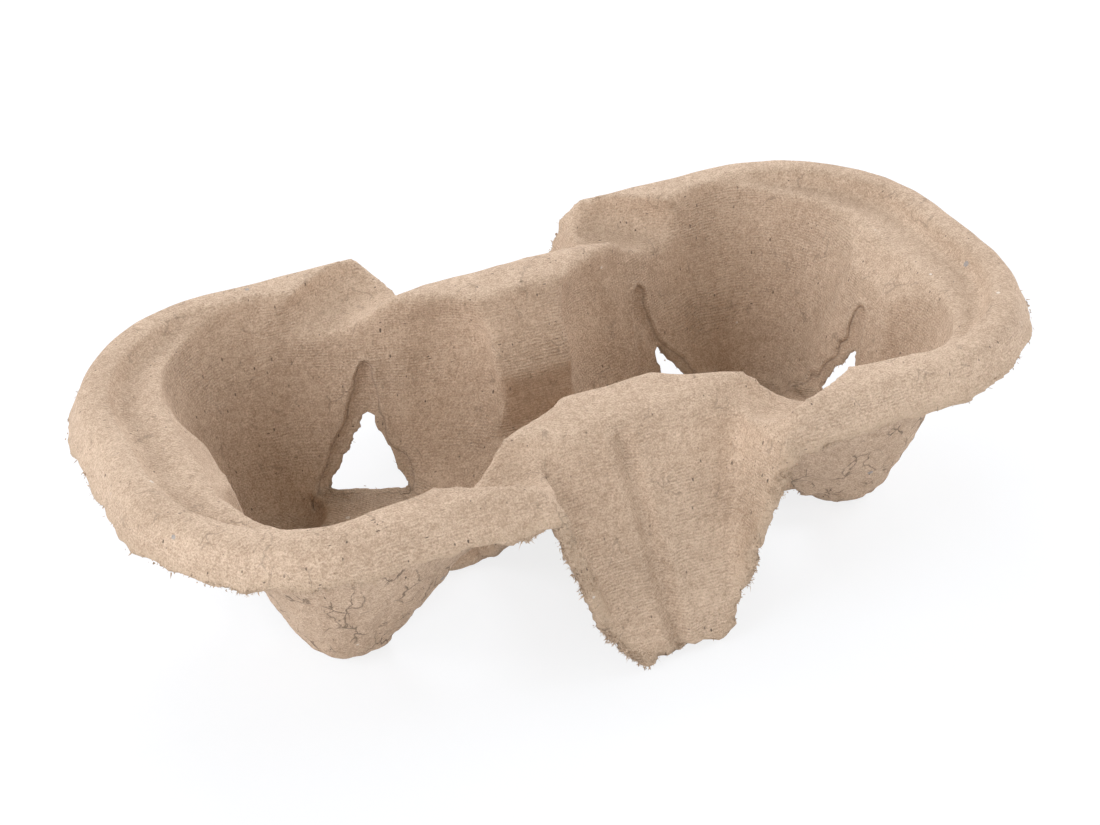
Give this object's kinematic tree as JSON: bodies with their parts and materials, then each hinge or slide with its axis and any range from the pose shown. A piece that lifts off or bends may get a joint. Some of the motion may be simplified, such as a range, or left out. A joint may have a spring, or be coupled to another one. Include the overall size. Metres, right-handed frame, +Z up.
{
  "type": "cup carrier tray",
  "caption": "Moulded pulp carrier tray with cup pockets on rounded feet, triangular vents, a rolled rim and middle arches with slanting aprons.",
  "frame": {"origin": "on the table under the middle of the tray", "axes": "+X along the row of cup pockets, +Y across the tray, +Z up out of the pockets"},
  "size_m": [0.22, 0.1196, 0.051],
  "materials": {
    "pulp": "matte, fibrous"
  },
  "bodies": {
    "root": {"carrier_tray": "pulp"}
  },
  "joints": []
}
